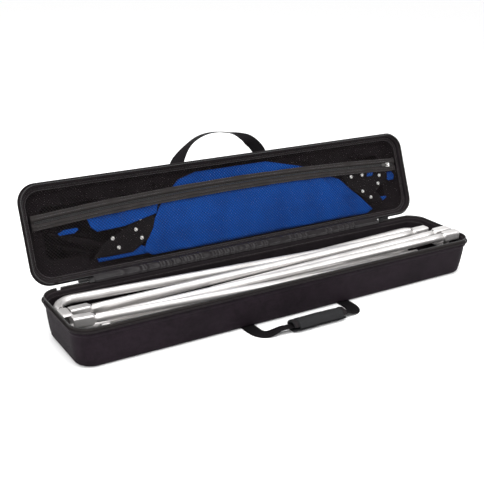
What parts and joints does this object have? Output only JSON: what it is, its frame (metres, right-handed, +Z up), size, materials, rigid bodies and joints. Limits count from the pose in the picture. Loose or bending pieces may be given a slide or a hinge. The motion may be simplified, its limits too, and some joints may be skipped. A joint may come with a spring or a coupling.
{
  "type": "telescope carry case",
  "caption": "Long zip-up moulded carry case, open, with a zipped mesh pocket in its lid, two webbing handles and its packed tube frame and folded cloth.",
  "frame": {"origin": "centre of the base's flat underside, on the floor", "axes": "+X along the case's length, to the right as seen from the open front; +Y towards the hinge; +Z up"},
  "size_m": [1.2194, 0.5274, 0.4026],
  "materials": {
    "shell_fabric": "woven polyester over moulded foam, matt",
    "lining_fabric": "smooth nylon",
    "binding_fabric": "ribbed nylon binding tape",
    "zipper_tape": "woven tape",
    "zipper_teeth": "nylon coil",
    "pocket_mesh": "open knitted net",
    "webbing": "woven polypropylene webbing",
    "grip_fabric": "padded woven fabric",
    "slider_metal": "black enamelled die cast",
    "pocket_slider_metal": "bare metal",
    "aluminium": "bright polished",
    "blue_fabric": "soft woven cloth, folded"
  },
  "bodies": {
    "base": {"base_shell": "shell_fabric", "base_lining": "lining_fabric", "base_rim_piping": "binding_fabric", "base_zipper_tape": "zipper_tape", "base_zipper_teeth": "zipper_teeth", "hinge_leaf_base": "binding_fabric", "hinge_welt": "binding_fabric", "zipper_end_left": "binding_fabric", "zipper_end_right": "binding_fabric", "base_handle_tail_left": "webbing", "base_handle_tail_right": "webbing"},
    "lid": {"lid_shell": "shell_fabric", "lid_lining": "lining_fabric", "lid_rim_piping": "binding_fabric", "lid_zipper_tape": "zipper_tape", "lid_zipper_teeth": "zipper_teeth", "hinge_leaf_lid": "binding_fabric", "mesh_binding": "binding_fabric", "mesh_panel_upper": "pocket_mesh", "mesh_panel_lower": "pocket_mesh", "pocket_tape_upper": "zipper_tape", "pocket_tape_lower": "zipper_tape", "pocket_teeth_upper": "zipper_teeth", "pocket_teeth_lower": "zipper_teeth", "fabric_panel": "blue_fabric", "fabric_tab_left": "webbing", "fabric_tab_right": "webbing", "lid_handle_tail_left": "webbing", "lid_handle_tail_right": "webbing"},
    "lid_handle": {"lid_handle_strap": "webbing"},
    "base_handle": {"base_handle_strap": "webbing", "grip_wrap": "grip_fabric"},
    "grip_flap": {"grip_flap": "grip_fabric"},
    "main_slider_left": {"main_slider_left": "slider_metal"},
    "main_pull_left": {"main_pull_left": "slider_metal"},
    "main_slider_right": {"main_slider_right": "slider_metal"},
    "main_pull_right": {"main_pull_right": "slider_metal"},
    "pocket_slider": {"pocket_slider": "pocket_slider_metal"},
    "pocket_pull": {"pocket_pull": "pocket_slider_metal"},
    "packed_frame": {"bow_left": "aluminium", "bow_left_socket_front": "aluminium", "bow_left_socket_end": "aluminium", "bow_right": "aluminium", "bow_right_socket_front": "aluminium", "rail_inner": "aluminium", "rail_inner_socket_left": "aluminium", "rail_inner_socket_right": "aluminium", "rail_front": "aluminium", "rail_front_socket_left": "aluminium", "rail_near": "aluminium", "rail_near_socket_right": "aluminium", "rail_far": "aluminium", "rail_far_socket_right": "aluminium", "rail_bottom_1": "aluminium", "rail_bottom_2": "aluminium", "rail_bottom_3": "aluminium", "rail_bottom_4": "aluminium", "rail_middle_1": "aluminium", "rail_middle_2": "aluminium"}
  },
  "joints": [
    {"name": "lid_hinge", "type": "hinge", "parent": "base", "child": "lid", "pos_m": [0, 0.129, 0.109], "axis": [-1, 0, 0], "range_deg": [-112, 50]},
    {"name": "lid_handle_swing", "type": "hinge", "parent": "lid", "child": "lid_handle", "pos_m": [0, 0.27164, 0.30435], "axis": [-1, 0, 0], "range_deg": [-35, 60]},
    {"name": "base_handle_swing", "type": "hinge", "parent": "base", "child": "base_handle", "pos_m": [0, -0.112, 0.0011], "axis": [-1, 0, 0], "range_deg": [0, 45]},
    {"name": "grip_flap_lift", "type": "hinge", "parent": "base_handle", "child": "grip_flap", "pos_m": [0.014, -0.1773, 0.0294], "axis": [-1, 0, 0], "range_deg": [0, 70]},
    {"name": "main_slider_left_travel", "type": "slide", "parent": "base", "child": "main_slider_left", "axis": [-1, 0, 0], "range_m": [0, 0.05]},
    {"name": "main_slider_right_travel", "type": "slide", "parent": "base", "child": "main_slider_right", "axis": [1, 0, 0], "range_m": [0, 0.05]},
    {"name": "main_pull_left_swing", "type": "hinge", "parent": "main_slider_left", "child": "main_pull_left", "pos_m": [-0.467, 0.12695, 0.109], "axis": [0, 0, -1], "range_deg": [0, 10]},
    {"name": "main_pull_right_swing", "type": "hinge", "parent": "main_slider_right", "child": "main_pull_right", "pos_m": [0.467, 0.12695, 0.109], "axis": [0, 0, 1], "range_deg": [0, 10]},
    {"name": "pocket_slider_travel", "type": "hinge", "parent": "lid", "child": "pocket_slider", "pos_m": [0, -2.88365, -7.4063], "axis": [0, -0.9272, 0.3746], "range_deg": [0, 7.66]},
    {"name": "pocket_pull_swing", "type": "hinge", "parent": "pocket_slider", "child": "pocket_pull", "pos_m": [0.553, 0.20526, 0.2513], "axis": [0.0668, 0.3738, 0.9251], "range_deg": [0, 120]},
    {"name": "packed_frame_lift", "type": "slide", "parent": "base", "child": "packed_frame", "axis": [0, 0, 1], "range_m": [0, 0.25]}
  ]
}
